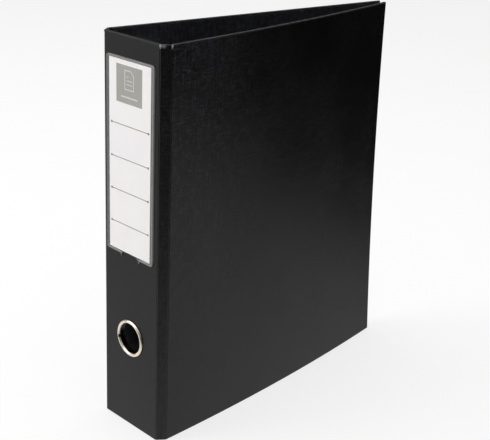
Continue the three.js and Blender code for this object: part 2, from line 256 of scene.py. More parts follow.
def lathe(name, profile, centre, axis, ref, sides=96, closed=True):
    """(radius, height) turned about an axis; closed rings the profile, otherwise its ends are on the axis."""
    axis = np.asarray(axis, float)
    axis = axis / np.linalg.norm(axis)
    ref = np.asarray(ref, float)
    ref = ref - axis * (ref @ axis)
    ref = ref / np.linalg.norm(ref)
    other = np.cross(axis, ref)
    prof = [tuple(p) for p in profile]
    verts, faces, uv = [], [], []
    rows = []
    run = 0.0
    for k, (r, h) in enumerate(prof):
        if k:
            run += math.dist(prof[k - 1], prof[k])
        if not closed and r < 1e-6:
            rows.append([len(verts)])
            verts.append(np.asarray(centre, float) + axis * h)
            uv.append((0, run))
            continue
        row = []
        for i in range(sides):
            a = 2 * math.pi * i / sides
            row.append(len(verts))
            verts.append(np.asarray(centre, float) + axis * h + (ref * math.cos(a) + other * math.sin(a)) * r)
            uv.append((a * 14, run))
        rows.append(row)
    pairs = list(zip(rows, rows[1:]))
    if closed:
        pairs.append((rows[-1], rows[0]))
    for a, b in pairs:
        for i in range(sides):
            j = (i + 1) % sides
            if len(a) == 1 and len(b) == 1:
                continue
            if len(a) == 1:
                faces.append((a[0], b[j], b[i]))
            elif len(b) == 1:
                faces.append((a[i], a[j], b[0]))
            else:
                faces.append((a[i], a[j], b[j], b[i]))
    return outward(make_object(name, np.array(verts), faces, uv))


def tube(name, path, radius, sides=20, cap=3, up=(0, 0, 1)):
    """A round wire along a path, its ends domed. radius may be one number or one for each point."""
    path = np.asarray(path, float)
    n = len(path)
    radii = np.full(n, radius) if np.isscalar(radius) else np.asarray(radius, float)
    tan = np.gradient(path, axis=0)
    tan /= np.linalg.norm(tan, axis=1)[:, None]
    up = np.asarray(up, float)
    verts, rings = [], []

    def ring(c, t, r):
        a = up - t * (up @ t)
        a /= np.linalg.norm(a)
        b = np.cross(t, a)
        row = []
        for i in range(sides):
            q = 2 * math.pi * i / sides
            row.append(len(verts))
            verts.append(c + (a * math.cos(q) + b * math.sin(q)) * r)
        rings.append(row)

    for k in range(cap, 0, -1):
        q = math.pi / 2 * k / (cap + 1)
        ring(path[0] - tan[0] * radii[0] * 0.6 * math.sin(q), tan[0], radii[0] * math.cos(q))
    for c, t, r in zip(path, tan, radii):
        ring(c, t, r)
    for k in range(1, cap + 1):
        q = math.pi / 2 * k / (cap + 1)
        ring(path[-1] + tan[-1] * radii[-1] * 0.6 * math.sin(q), tan[-1], radii[-1] * math.cos(q))
    faces = []
    for a, b in zip(rings, rings[1:]):
        for i in range(sides):
            j = (i + 1) % sides
            faces.append((a[i], a[j], b[j], b[i]))
    first, last = len(verts), len(verts) + 1
    verts.append(path[0] - tan[0] * radii[0] * 0.6)
    verts.append(path[-1] + tan[-1] * radii[-1] * 0.6)
    for i in range(sides):
        j = (i + 1) % sides
        faces.append((first, rings[0][j], rings[0][i]))
        faces.append((last, rings[-1][i], rings[-1][j]))
    return outward(make_object(name, np.array(verts), faces))


def loft(name, sections, closed_section=True):
    """A closed body through equal rings of points, its two ends filled."""
    sections = [np.asarray(s, float) for s in sections]
    m = len(sections[0])
    verts = np.concatenate(sections)
    faces = []
    for k in range(len(sections) - 1):
        for i in range(m):
            j = (i + 1) % m
            a, b = k * m, (k + 1) * m
            faces.append((a + i, a + j, b + j, b + i))
    faces.append(tuple(range(m)))
    faces.append(tuple(reversed(range((len(sections) - 1) * m, len(sections) * m))))
    return outward(make_object(name, verts, faces))


def apply_modifiers(obj):
    dg = bpy.context.evaluated_depsgraph_get()
    new = bpy.data.meshes.new_from_object(obj.evaluated_get(dg), preserve_all_data_layers=True, depsgraph=dg)
    old = obj.data
    obj.modifiers.clear()
    obj.data = new
    bpy.data.meshes.remove(old)
    return obj


def carve(obj, *cutters):
    for cutter in cutters:
        m = obj.modifiers.new("cut", "BOOLEAN")
        m.operation = "DIFFERENCE"
        m.solver = "EXACT"
        m.object = cutter
    bpy.context.view_layer.update()
    apply_modifiers(obj)
    for cutter in cutters:
        bpy.data.objects.remove(cutter)
    return obj


def soften(obj, width=0.25, segments=2, angle=35):
    m = obj.modifiers.new("bevel", "BEVEL")
    m.width = width / 1000
    m.segments = segments
    m.limit_method = "ANGLE"
    m.angle_limit = math.radians(angle)
    m.harden_normals = False
    apply_modifiers(obj)
    return obj


def sharpen(obj, angle=32):
    """Smooth shading with edges kept where faces meet sharply."""
    mesh = obj.data
    mesh.polygons.foreach_set("use_smooth", [True] * len(mesh.polygons))
    bm = bmesh.new()
    bm.from_mesh(mesh)
    lim = math.radians(angle)
    for e in bm.edges:
        if len(e.link_faces) == 2 and e.calc_face_angle(0) > lim:
            e.smooth = False
    bm.to_mesh(mesh)
    bm.free()
    return obj


# ---------------------------------------------------------------------------------------------
# node helpers and materials
# ---------------------------------------------------------------------------------------------
class Nodes:
    def __init__(self, name):
        self.mat = bpy.data.materials.new(name)
        self.mat.use_nodes = True
        self.t = self.mat.node_tree
        self.bsdf = self.t.nodes["Principled BSDF"]

    def new(self, kind, **props):
        n = self.t.nodes.new(kind)
        for k, v in props.items():
            setattr(n, k, v)
        return n

    def link(self, a, b):
        self.t.links.new(a, b)

    def put(self, socket, value):
        if isinstance(value, bpy.types.NodeSocket):
            self.link(value, socket)
        elif value is not None:
            socket.default_value = value

    def math(self, op, a, b=None, c=None, clamp=False):
        n = self.new("ShaderNodeMath", operation=op, use_clamp=clamp)
        self.put(n.inputs[0], a)
        if b is not None:
            self.put(n.inputs[1], b)
        if c is not None:
            self.put(n.inputs[2], c)
        return n.outputs[0]

    def ramp(self, x, lo, hi, to_lo=0.0, to_hi=1.0, smooth=True):
        n = self.new("ShaderNodeMapRange")
        n.interpolation_type = "SMOOTHSTEP" if smooth else "LINEAR"
        self.put(n.inputs["Value"], x)
        self.put(n.inputs["From Min"], lo)
        self.put(n.inputs["From Max"], hi)
        self.put(n.inputs["To Min"], to_lo)
        self.put(n.inputs["To Max"], to_hi)
        return n.outputs["Result"]

    def uv_mm(self):
        """The piece's own flat coordinates, in millimetres."""
        n = self.new("ShaderNodeUVMap", uv_map="mm")
        s = self.new("ShaderNodeSeparateXYZ")
        self.link(n.outputs[0], s.inputs[0])
        return s.outputs[0], s.outputs[1]

    def object_mm(self):
        n = self.new("ShaderNodeTexCoord")
        s = self.new("ShaderNodeVectorMath", operation="SCALE")
        self.link(n.outputs["Object"], s.inputs[0])
        s.inputs["Scale"].default_value = 1000
        return s.outputs[0]

    def vec(self, x, y, z=0.0):
        n = self.new("ShaderNodeCombineXYZ")
        self.put(n.inputs[0], x)
        self.put(n.inputs[1], y)
        self.put(n.inputs[2], z)
        return n.outputs[0]

    def noise(self, vector, scale=1.0, detail=2.0, rough=0.5, dim="3D"):
        n = self.new("ShaderNodeTexNoise", noise_dimensions=dim)
        self.put(n.inputs["Vector"], vector)
        n.inputs["Scale"].default_value = scale
        n.inputs["Detail"].default_value = detail
        n.inputs["Roughness"].default_value = rough
        return n.outputs["Fac"]

    def mix(self, fac, a, b):
        n = self.new("ShaderNodeMix", data_type="RGBA")
        self.put(n.inputs[0], fac)
        for sock, v in ((n.inputs[6], a), (n.inputs[7], b)):
            if isinstance(v, bpy.types.NodeSocket):
                self.link(v, sock)
            else:
                sock.default_value = (*v, 1.0)
        return n.outputs[2]

    def bump(self, height, distance_mm, strength=1.0, normal=None):
        n = self.new("ShaderNodeBump")
        n.inputs["Strength"].default_value = strength
        n.inputs["Distance"].default_value = distance_mm / 1000
        self.put(n.inputs["Height"], height)
        if normal is not None:
            self.link(normal, n.inputs["Normal"])
        return n.outputs[0]

    def set(self, **values):
        for k, v in values.items():
            self.put(self.bsdf.inputs[k], v)
        return self


def linen(n, u, v, pitch=1.02):
    """Height of a linen-embossed film: crossed threads of uneven thickness with slubs."""
    wob_u = n.noise(n.vec(n.math("MULTIPLY", u, 0.35), n.math("MULTIPLY", v, 0.09)), 1.0, 2.0)
    wob_v = n.noise(n.vec(n.math("MULTIPLY", u, 0.09), n.math("MULTIPLY", v, 0.35), 7.3), 1.0, 2.0)
    uu = n.math("ADD", n.math("DIVIDE", u, pitch), n.math("MULTIPLY", wob_u, 0.9))
    vv = n.math("ADD", n.math("DIVIDE", v, pitch * 0.94), n.math("MULTIPLY", wob_v, 0.9))
    cu = n.math("MULTIPLY_ADD", n.math("COSINE", n.math("MULTIPLY", uu, 2 * math.pi)), 0.5, 0.5)
    cv = n.math("MULTIPLY_ADD", n.math("COSINE", n.math("MULTIPLY", vv, 2 * math.pi)), 0.5, 0.5)
    # slubs: thickness that runs along each thread
    slub_u = n.noise(n.vec(n.math("MULTIPLY", u, 0.75), n.math("MULTIPLY", v, 0.13), 3.1), 1.0, 3.0, 0.6)
    slub_v = n.noise(n.vec(n.math("MULTIPLY", u, 0.13), n.math("MULTIPLY", v, 0.75), 9.7), 1.0, 3.0, 0.6)
    au = n.ramp(slub_u, 0.38, 0.62, 0.05, 1.0)
    av = n.ramp(slub_v, 0.38, 0.62, 0.05, 1.0)
    tu = n.math("MULTIPLY", cu, au)
    tv = n.math("MULTIPLY", cv, av)
    over = n.math("MULTIPLY", n.math("COSINE", n.math("MULTIPLY", uu, math.pi)),
                  n.math("COSINE", n.math("MULTIPLY", vv, math.pi)))
    w = n.math("MULTIPLY_ADD", over, 0.3, 0.6)
    w2 = n.math("MULTIPLY_ADD", over, -0.3, 0.6)
    h = n.math("SMOOTH_MAX", n.math("MULTIPLY", tu, w), n.math("MULTIPLY", tv, w2), 0.12)
    return h, au, av


def film_material(name, color, rough, bump_mm, linen_on=True, grain_hi=2.0, scuff=None, sp=0.5, crown_glint=None):
    n = Nodes(name)
    u, v = n.uv_mm()
    pos = n.vec(u, v)
    if linen_on:
        h, au, av = linen(n, u, v)
    else:
        h = n.noise(pos, 2.3, 4.0, 0.65)
        au = av = n.noise(pos, 0.35, 2.0)
    grain = n.noise(pos, 6.5, 3.0, 0.6)
    cloud = n.noise(pos, 0.018, 3.0, 0.55)
    # threads' crowns are rubbed a little glossier and lighter
    lo = tuple(c * 0.45 for c in color)
    hi = tuple(c * grain_hi for c in color)
    if linen_on:
        # single threads stand out along their length
        run_u = n.noise(n.vec(n.math("MULTIPLY", u, 0.95), n.math("MULTIPLY", v, 0.11), 21.5), 1.0, 2.0, 0.65)
        run_v = n.noise(n.vec(n.math("MULTIPLY", u, 0.11), n.math("MULTIPLY", v, 0.95), 33.1), 1.0, 2.0, 0.65)
        run = n.math("MAXIMUM", n.ramp(run_u, 0.46, 0.66), n.ramp(run_v, 0.48, 0.68))
        crown = n.math("MULTIPLY", n.ramp(h, 0.05, 0.6, 0.25, 1.0), n.math("MULTIPLY_ADD", run, 0.85, 0.15))
    else:
        crown = n.ramp(h, 0.15, 0.7)
    # painted highlight: the crowns' lighter colour is scaled by a mask of where raking light catches the weave
    if crown_glint:
        crown = n.math("MULTIPLY", crown, crown_glint(n, u, v))
    base = n.mix(crown, lo, hi)
    r = n.ramp(cloud, 0.3, 0.7, rough - 0.035, rough + 0.035)
    r = n.math("ADD", r, n.ramp(h, 0.1, 0.8, 0.05, -0.04))
    r = n.math("ADD", r, n.ramp(grain, 0.3, 0.7, -0.02, 0.02))
    if scuff:
        base, r = scuff(n, u, v, base, r)
    n.set(**{"Base Color": base, "Roughness": r})
    n.bsdf.inputs["IOR"].default_value = 1.5
    n.bsdf.inputs["Specular IOR Level"].default_value = sp
    b = n.bump(grain, 0.012, 0.6)
    b = n.bump(h, bump_mm, 1.0, b)
    n.link(b, n.bsdf.inputs["Normal"])
    return n.mat


def edge_wear(z_only=True):
    """Rubbed, slightly greyed film along a panel's top and bottom edges."""
    def f(n, u, v, base, r):
        d = n.math("MINIMUM", v, n.math("SUBTRACT", H, v))
        patch = n.noise(n.vec(n.math("MULTIPLY", u, 0.12), n.math("MULTIPLY", v, 0.4), 4.4), 1.0, 4.0, 0.65)
        near = n.ramp(d, 0.25, 1.6, 1.0, 0.0)
        m = n.math("MULTIPLY", near, n.ramp(patch, 0.35, 0.7, 0.25, 1.0), clamp=True)
        base = n.mix(n.math("MULTIPLY", m, 0.5), base, (0.055, 0.055, 0.058))
        return base, n.math("ADD", r, n.math("MULTIPLY", m, 0.1))
    return f


def painted_grain_glint(n, u, v):
    """Painted highlight: thread crowns are lightened most beside the hinge and towards the top, where raking light
    catches the weave.
    """
    across = n.ramp(n.math("MODULO", u, 400.0), 15.0, 125.0, 1.0, 0.12)
    return n.math("MULTIPLY", across, n.ramp(v, 40.0, 215.0, 0.25, 1.0))


def hinge_wear(n, u, v, base, r):
    """Rubbed ends, and the front strip's top corner greyed where the film is folded in beside the crease."""
    base, r = edge_wear()(n, u, v, base, r)
    d = n.math("SUBTRACT", H, v)
    spot = n.math("MULTIPLY", n.ramp(d, 1.2, 3.4, 1.0, 0.0), n.ramp(u, 802.6, 805.2, 1.0, 0.0))
    rough = n.noise(n.vec(u, v, 5.2), 1.1, 4.0, 0.7)
    m = n.math("MULTIPLY", spot, n.ramp(rough, 0.38, 0.6, 0.1, 1.0), clamp=True)
    return n.mix(m, base, (0.22, 0.22, 0.22)), n.math("ADD", r, n.math("MULTIPLY", m, 0.12))


M = {}
# the cover's thread crowns get a painted highlight beside the hinge and towards the top
M["cover"] = film_material("linen_cover_film", (0.0017, 0.0017, 0.0021), 0.20, 0.036, grain_hi=15.0, scuff=edge_wear(), crown_glint=painted_grain_glint)
M["spine"] = film_material("smooth_spine_film", (0.0082, 0.0082, 0.0088), 0.34, 0.008, linen_on=False, grain_hi=1.4, scuff=edge_wear(), sp=0.18)
M["hinge"] = film_material("linen_hinge_film", (0.0018, 0.0018, 0.0022), 0.22, 0.040, grain_hi=7.0, scuff=hinge_wear)
M["lining"] = film_material("linen_lining_paper", (0.0095, 0.0100, 0.0125), 0.42, 0.08, grain_hi=6.5)


def crease_wear(n, u, v, base, r):
    """Stress-whitened film at the top end of a crease, where the turned-in edge is folded."""
    d = n.math("SUBTRACT", H, v)
    spot = n.math("MULTIPLY", n.ramp(d, 1.0, 3.8, 1.0, 0.0), n.ramp(u, -0.7, -0.1))
    rough = n.noise(n.vec(u, v, 2.2), 1.4, 4.0, 0.7)
    m = n.math("MULTIPLY", spot, n.ramp(rough, 0.35, 0.6, 0.2, 1.0), clamp=True)
    base = n.mix(m, base, (0.40, 0.40, 0.40))
    return base, n.math("ADD", r, n.math("MULTIPLY", m, 0.12))


M["crease"] = film_material("linen_crease_film", (0.0017, 0.0017, 0.0020), 0.24, 0.038, grain_hi=7.0, scuff=crease_wear)


def metal(name, color, rough, scratch=0.04, bump=0.004, scale=1.0, stretch=(1, 1, 1)):
    n = Nodes(name)
    p = n.object_mm()
    m = n.new("ShaderNodeMapping")
    n.link(p, m.inputs[0])
    m.inputs["Scale"].default_value = stretch
    fine = n.noise(m.outputs[0], 3.5 * scale, 4.0, 0.7)
    cloud = n.noise(p, 0.12, 3.0, 0.6)
    base = n.mix(n.ramp(cloud, 0.3, 0.7), tuple(c * 0.93 for c in color), color)
    r = n.math("ADD", n.ramp(fine, 0.3, 0.7, rough - scratch, rough + scratch), n.ramp(cloud, 0.35, 0.7, -0.02, 0.04))
    n.set(**{"Base Color": base, "Roughness": r})
    n.bsdf.inputs["Metallic"].default_value = 1.0
    n.link(n.bump(fine, bump), n.bsdf.inputs["Normal"])
    return n.mat


M["nickel"] = metal("nickel_plate", (0.93, 0.88, 0.79), 0.30, 0.05, 0.006)


def eyelet_material():
    """Bright nickel on the rolled lip; down the barrel the colour is painted near-black as painted shade inside the
    hole.
    """
    mat = metal("nickel_eyelet", (0.97, 0.88, 0.75), 0.34, 0.05, 0.006)
    t = mat.node_tree
    bsdf = t.nodes["Principled BSDF"]
    tc = t.nodes.new("ShaderNodeTexCoord")
    sp = t.nodes.new("ShaderNodeSeparateXYZ")
    t.links.new(tc.outputs["Object"], sp.inputs[0])
    # painted shade: the base colour fades to near-black going down into the barrel
    depth = t.nodes.new("ShaderNodeMapRange")
    depth.interpolation_type = "SMOOTHSTEP"
    t.links.new(sp.outputs[1], depth.inputs["Value"])
    depth.inputs["From Min"].default_value = OFF[1] - 0.00075
    depth.inputs["From Max"].default_value = OFF[1] + 0.0001
    mix = t.nodes.new("ShaderNodeMix")
    mix.data_type = "RGBA"
    old = bsdf.inputs["Base Color"].links[0].from_socket
    t.links.new(depth.outputs["Result"], mix.inputs[0])
    t.links.new(old, mix.inputs[6])
    mix.inputs[7].default_value = (0.02, 0.019, 0.018, 1.0)
    t.links.new(mix.outputs[2], bsdf.inputs["Base Color"])
    return mat


M["eyelet"] = eyelet_material()
M["chrome"] = metal("bright_chrome", (0.78, 0.79, 0.81), 0.14, 0.03, 0.003)
M["steel"] = metal("zinc_plated_steel", (0.62, 0.64, 0.66), 0.32, 0.07, 0.005, 1.0, (1, 1, 0.15))


def label_material():
    """White card: a warm grey panel with a plain page sign, and four ruled lines with dotted ends."""
    n = Nodes("printed_label_card")
    u, v = n.uv_mm()                       # spine millimetres
    fibre = n.noise(n.vec(u, v), 3.0, 4.0, 0.65)
    cloud = n.noise(n.vec(u, v), 0.05, 2.0)

    def band(x, lo, hi, soft=0.06):
        return n.math("MULTIPLY", n.ramp(x, lo - soft, lo + soft), n.ramp(x, hi - soft, hi + soft, 1.0, 0.0))

    def rect(x0, x1, z0, z1, soft=0.06):
        return n.math("MULTIPLY", band(u, x0, x1, soft), band(v, z0, z1, soft))

    def disc(x, z, r, soft=0.07):
        dx, dz = n.math("SUBTRACT", u, x), n.math("SUBTRACT", v, z)
        d = n.math("SQRT", n.math("ADD", n.math("MULTIPLY", dx, dx), n.math("MULTIPLY", dz, dz)))
        return n.ramp(d, r - soft, r + soft, 1.0, 0.0)

    paper = n.mix(n.ramp(cloud, 0.3, 0.7), (0.925, 0.895, 0.905), (0.95, 0.92, 0.93))
    panel = rect(-16.3, 13.6, 269.9, 298.4)
    col = n.mix(panel, paper, n.mix(n.ramp(fibre, 0.35, 0.65), (0.295, 0.286, 0.256), (0.325, 0.316, 0.282)))
    # the page sign: an outlined sheet with a turned corner and three lines, over a plain bar
    light = (0.70, 0.69, 0.66)
    cx = -1.35
    outline = n.math("SUBTRACT", rect(cx - 5.4, cx + 5.4, 280.2, 295.0), rect(cx - 4.7, cx + 4.7, 280.9, 294.3), clamp=True)
    corner = n.math("GREATER_THAN", n.math("ADD", n.math("SUBTRACT", u, cx + 5.4), n.math("SUBTRACT", v, 295.0)), -3.9)
    outline = n.math("MULTIPLY", outline, n.math("SUBTRACT", 1.0, corner), clamp=True)
    diag = n.math("ADD", n.math("SUBTRACT", u, cx + 5.4), n.math("SUBTRACT", v, 295.0))
    fold = n.math("MULTIPLY", band(diag, -4.3, -3.4, 0.08), rect(cx + 1.2, cx + 5.4, 290.6, 295.0))
    sign = n.math("MAXIMUM", outline, fold)
    for zz, wid in ((290.0, 2.6), (287.2, 6.6), (284.4, 6.6)):
        sign = n.math("MAXIMUM", sign, rect(cx - 3.3, cx - 3.3 + wid, zz - 0.28, zz + 0.28))
    sign = n.math("MAXIMUM", sign, rect(cx - 9.6, cx + 9.6, 274.2, 275.3))
    col = n.mix(n.math("MULTIPLY", sign, 0.85), col, light)
    lines = None
    for zz in (252.95, 226.8, 200.7, 174.15):
        one = rect(-21.9, 20.9, zz - 0.33, zz + 0.33)
        lines = one if lines is None else n.math("MAXIMUM", lines, one)
    col = n.mix(n.math("MULTIPLY", lines, 0.95), col, (0.10, 0.10, 0.105))
    dots = None
    for zz in (252.95, 226.8, 200.7, 174.15):
        for xx in (-22.0, 21.0):
            one = disc(xx, zz, 0.95)
            dots = one if dots is None else n.math("MAXIMUM", dots, one)
    col = n.mix(dots, col, (0.03, 0.03, 0.035))
    n.set(**{"Base Color": col, "Roughness": n.ramp(fibre, 0.3, 0.7, 0.52, 0.62)})
    n.bsdf.inputs["Specular IOR Level"].default_value = 0.35
    n.link(n.bump(fibre, 0.006), n.bsdf.inputs["Normal"])
    return n.mat


M["label"] = label_material()


def plain_card():
    n = Nodes("plain_label_card")
    p = n.object_mm()
    fibre = n.noise(p, 3.0, 4.0, 0.65)
    n.set(**{"Base Color": n.mix(n.ramp(n.noise(p, 0.05, 2.0), 0.3, 0.7), (0.84, 0.82, 0.80), (0.88, 0.86, 0.84)),
             "Roughness": n.ramp(fibre, 0.3, 0.7, 0.6, 0.72)})
    n.link(n.bump(fibre, 0.01), n.bsdf.inputs["Normal"])
    return n.mat


M["card_back"] = plain_card()


def clear_film(name, alpha, color=(0.80, 0.80, 0.79), rough=0.16, bump=0.02):
    n = Nodes(name)
    p = n.object_mm()
    wave = n.noise(p, 0.09, 2.0, 0.5)
    fine = n.noise(p, 1.6, 3.0, 0.6)
    n.set(**{"Base Color": n.mix(n.ramp(wave, 0.35, 0.65), tuple(c * 0.94 for c in color), color),
             "Roughness": n.ramp(fine, 0.3, 0.7, rough - 0.05, rough + 0.06)})
    n.bsdf.inputs["Alpha"].default_value = alpha
    n.bsdf.inputs["IOR"].default_value = 1.5
    n.bsdf.inputs["Coat Weight"].default_value = 0.6
    n.bsdf.inputs["Coat Roughness"].default_value = 0.08
    n.link(n.bump(wave, bump), n.bsdf.inputs["Normal"])
    n.mat.surface_render_method = "BLENDED"
    return n.mat


def weld_film():
    """The pocket's welded rim: clouded film, more stretched and clearer along its left edge."""
    mat = clear_film("welded_pocket_rim", 0.8, (0.17, 0.17, 0.162), 0.28, 0.05)
    t = mat.node_tree
    bsdf = t.nodes["Principled BSDF"]
    tc = t.nodes.new("ShaderNodeTexCoord")
    sp = t.nodes.new("ShaderNodeSeparateXYZ")
    t.links.new(tc.outputs["Object"], sp.inputs[0])
    across = t.nodes.new("ShaderNodeMapRange")
    across.interpolation_type = "SMOOTHSTEP"
    t.links.new(sp.outputs[0], across.inputs["Value"])
    across.inputs["From Min"].default_value = OFF[0] - 0.0262
    across.inputs["From Max"].default_value = OFF[0] - 0.0245
    mix = t.nodes.new("ShaderNodeMix")
    mix.data_type = "RGBA"
    old = bsdf.inputs["Base Color"].links[0].from_socket
    t.links.new(across.outputs["Result"], mix.inputs[0])
    mix.inputs[6].default_value = (0.03, 0.029, 0.027, 1.0)
    bsdf.inputs["Coat Weight"].default_value = 0.2
    t.links.new(old, mix.inputs[7])
    t.links.new(mix.outputs[2], bsdf.inputs["Base Color"])
    return mat


M["film"] = clear_film("clear_pocket_film", 0.10)
M["weld"] = weld_film()


def dress(obj, mat, body=None, slot=None, *nodes):
    obj.data.materials.clear()
    obj.data.materials.append(mat)
    if nodes:
        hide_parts(*nodes)
    if body:
        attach(obj, body)
    return obj


# ---------------------------------------------------------------------------------------------
# covers, hinge strips and spine
# ---------------------------------------------------------------------------------------------
R_EDGE = 0.6


def hinge_end(s, z, s0=BAND, full=WALL):
    """Inner depth near a crease: the lining runs off the board's edge down to the film."""
    t = np.clip((s - s0) / 1.5, 0, 1)
    return FILM + (full - FILM) * (t * t * (3 - 2 * t))


zs = stops(0.0, H, 11.0, R_EDGE, R_EDGE)
ss = stops(BAND, COVER_W, 9.0, 0, R_EDGE, [BAND + 0.4 * k for k in range(1, 5)])
front = plate("front_cover_skin", front_map, ss, zs, 0.0, hinge_end, R_EDGE, False, True)
dress(front, M["cover"], "front_cover", "cover_wrap", "front_cover_wrap", "front_cover_board")
back = plate("back_cover_skin", back_map, ss, zs, 0.0, hinge_end, R_EDGE, False, True, uv_off=(400, 0))
dress(back, M["cover"], "back_cover", "cover_wrap", "back_cover_wrap", "back_cover_board")

# the lining sheets, glued inside and a little short of the edges
ls = stops(3.0, COVER_W - 1.3, 9.0, 0.14, 0.14)
lz = stops(1.3, H - 1.3, 11.0, 0.14, 0.14)
lining_f = plate("front_cover_lining_sheet", front_map, ls, lz, WALL - 0.1, WALL + 0.16, 0.13, True, True, uv_off=(0, 500))
dress(lining_f, M["lining"], "front_cover", "lining", "front_cover_lining")
lining_b = plate("back_cover_lining_sheet", back_map, ls, lz, WALL - 0.1, WALL + 0.16, 0.13, True, True, uv_off=(400, 500))
dress(lining_b, M["lining"], "back_cover", "lining", "back_cover_lining")


def spine_inner(s, z):
    d = HALF - np.abs(s)
    t = np.clip((d - BAND) / 1.5, 0, 1)
    return FILM + (WALL - FILM) * (t * t * (3 - 2 * t))


edge = HALF - BAND
xs = stops(-edge, edge, 6.0, 0, 0, [sgn * (edge - 0.4 * k) for k in range(1, 5) for sgn in (-1, 1)])
spine = plate("spine_skin", spine_map, xs, zs, 0.0, spine_inner, R_EDGE, False, False)


def cylinder(name, r, y0, y1, sides=72, x=RING_X, z=RING_Z):
    return lathe(name, [(0, y0), (r, y0), (r, y1), (0, y1)], (x, 0, z), (0, 1, 0), (1, 0, 0), sides, closed=False)


carve(spine, cylinder("cut_a", 13.5, -6, 9))
sharpen(spine, 50)
dress(spine, M["spine"], "spine", "spine_wrap", "spine_wrap", "spine_board")

lining_s = plate("spine_lining_sheet", spine_map, stops(-edge + 1.9, edge - 1.9, 6.0, 0.14, 0.14), lz,
                 WALL - 0.1, WALL + 0.16, 0.13, True, True, uv_off=(-300, 500))
carve(lining_s, cylinder("cut_b", 13.6, -6, 9))
sharpen(lining_s, 50)
dress(lining_s, M["lining"], "spine", "lining", "spine_lining")

R_FILM = 0.38


def strip(name, side, body, nodes):
    fmap = strip_map(side)
    s = stops(BAND, STRIP_W - BAND, 1.2)
    obj = plate(name, fmap, s, stops(0.0, H, 11.0, R_FILM, R_FILM), 0.0, FILM, R_FILM, False, False, uv_off=(side * 800, 0))
    return dress(obj, M["hinge"], body, "hinge", *nodes)


strip("front_hinge_skin", 1, "front_hinge", ["front_hinge_strip"])
strip("back_hinge_skin", -1, "back_hinge", ["back_hinge_strip"])


def crease_band(name, corner, dir_a, dir_b, inward_a, inward_b, groove=0.22, pucker=0.5, mat=None):
    """The film bent over one crease line, with a pressed groove along it."""
    corner = np.asarray(corner, float)
    dir_a, dir_b = np.asarray(dir_a, float), np.asarray(dir_b, float)
    inward_a, inward_b = np.asarray(inward_a, float), np.asarray(inward_b, float)
    p0, p2 = corner - dir_a * BAND, corner + dir_b * BAND
    count = 16
    z = stops(0.0, H, 6.0, R_FILM, R_FILM, [H - 4 + 0.4 * k for k in range(10)])
    T = np.linspace(0, 1, count + 1)
    P, Nn = [], []
    for t in T:
        P.append((1 - t) ** 2 * p0 + 2 * t * (1 - t) * corner + t * t * p2)
        d = (1 - t) * (corner - p0) + t * (p2 - corner)
        d /= np.linalg.norm(d)
        n = np.array([-d[1], d[0]])
        if n @ (inward_a + inward_b) < 0:
            n = -n
        Nn.append(n)
    P, Nn = np.array(P), np.array(Nn)
    dip = groove * np.sin(math.pi * T) ** 2
    dip = dip - 0.0

    def fmap(S, D, Z):
        i = np.clip((S + BAND) / (2 * BAND), 0, 1) * count
        k = np.minimum(i.astype(int), count - 1)
        f = (i - k)[..., None]
        base = P[k] * (1 - f) + P[k + 1] * f
        nn = Nn[k] * (1 - f) + Nn[k + 1] * f
        g = (dip[k] * (1 - f[..., 0]) + dip[k + 1] * f[..., 0])
        # the turned-in film gathers at the top end: a small bulge and a fold
        top = np.exp(-((H - Z) / 1.7) ** 2)
        swell = pucker * top * np.exp(-(S / 0.5) ** 2)
        xy = base + nn * (D + g * (1 - 0.8 * top) - swell)[..., None]
        return np.concatenate([xy, Z[..., None]], -1)

    s = np.linspace(-BAND, BAND, count + 1)
    obj = plate(name, fmap, s, z, 0.0, FILM, R_FILM, False, False, uv_off=(0, 0))
    dress(obj, mat or M["crease"], None, "hinge")
    a = np.array([*p0, 160.0]) / 1000 + OFF
    b = np.array([*p2, 160.0]) / 1000 + OFF
    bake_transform(obj)
    return obj


def unit(a):
    return np.array([math.cos(a), math.sin(a)])


fa = FRONT_STRIP
a_front = math.pi / 2 + FRONT_LEAN - FRONT_BOW / 2           # the front cover's heading at the crease
crease_band("front_spine_crease_film", (HALF, 0), (1, 0), unit(fa), (0, 1), (-math.sin(fa), math.cos(fa)))
crease_band("front_cover_crease_film", (HALF + STRIP_W * math.cos(fa), STRIP_W * math.sin(fa)), unit(fa), unit(a_front),
            (-math.sin(fa), math.cos(fa)), (-1, 0))
ba = BACK_STRIP
crease_band("back_spine_crease_film", (-HALF, 0), (-1, 0), (-math.cos(ba), math.sin(ba)), (0, 1),
            (math.sin(ba), math.cos(ba)))
crease_band("back_cover_crease_film", (BX, BY), (-math.cos(ba), math.sin(ba)), (math.sin(BACK_LEAN), math.cos(BACK_LEAN)),
            (math.sin(ba), math.cos(ba)), (1, 0))

# ---------------------------------------------------------------------------------------------
# finger ring
# ---------------------------------------------------------------------------------------------
outer_lip = smooth_curve([(15.35, -0.02), (15.5, -0.45), (15.15, -1.05), (14.35, -1.48), (13.5, -1.42),
                          (12.9, -0.95), (12.6, -0.2), (12.55, 0.8)], 5)
inner_lip = smooth_curve([(12.55, 2.6), (12.6, 3.7), (12.95, 4.25), (13.6, 4.4), (14.35, 4.2), (14.6, 3.8), (14.4, 3.62)], 5)
profile = [tuple(p) for p in outer_lip] + [tuple(p) for p in inner_lip] + [(13.25, 3.62), (13.2, 3.3), (13.2, 0.1), (13.3, -0.02)]
ring = lathe("finger_ring_shell", profile, (RING_X, 0, RING_Z), (0, 1, 0), (1, 0, 0), 128)


def box_cutter(name, x0, x1, y0, y1, z0, z1):
    v = [(x, y, z) for x in (x0, x1) for y in (y0, y1) for z in (z0, z1)]
    f = [(0, 1, 3, 2), (4, 6, 7, 5), (0, 4, 5, 1), (2, 3, 7, 6), (0, 2, 6, 4), (1, 5, 7, 3)]
    return outward(make_object(name, np.array(v, float), f, smooth=False))


